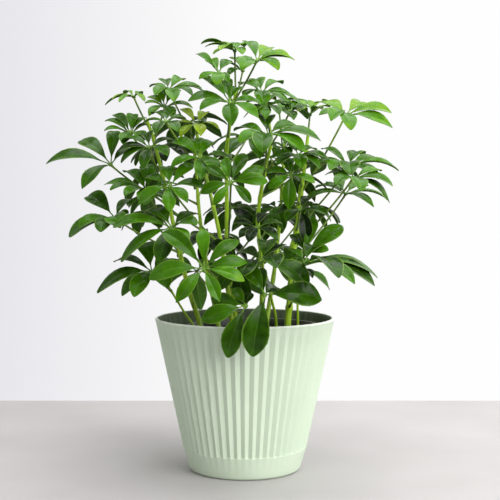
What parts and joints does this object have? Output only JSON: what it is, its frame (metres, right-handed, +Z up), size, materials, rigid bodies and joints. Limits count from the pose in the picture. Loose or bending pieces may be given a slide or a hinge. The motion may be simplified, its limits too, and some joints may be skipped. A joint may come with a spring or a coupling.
{
  "type": "potted umbrella plant",
  "caption": "Bushy young umbrella plant in a black grow pot, standing inside a tapered pleated mint cover pot with a plain foot band and a flat base.",
  "frame": {"origin": "centre of the cover pot's flat underside, where it stands on a table", "axes": "+Z up along the cover pot's axis, -Y towards the viewer of the picture, +X to the viewer's right"},
  "size_m": [0.3486, 0.3275, 0.4286],
  "materials": {
    "cover_pot": "satin, moulded, mint green",
    "grow_pot": "satin, thin moulded, black",
    "potting_mix": "rough, crumbly, damp",
    "foliage": "waxy, glossy green leaves on green stems"
  },
  "bodies": {
    "root": {"pot": "cover_pot", "nursery_pot": "grow_pot", "soil": "potting_mix", "stem_left": "foliage", "stem_centre_left": "foliage", "stem_centre": "foliage", "stem_centre_right": "foliage", "stem_right": "foliage", "stem_back_left": "foliage", "stem_back_right": "foliage", "shoot_left": "foliage", "shoot_middle": "foliage", "shoot_right": "foliage"}
  },
  "joints": []
}
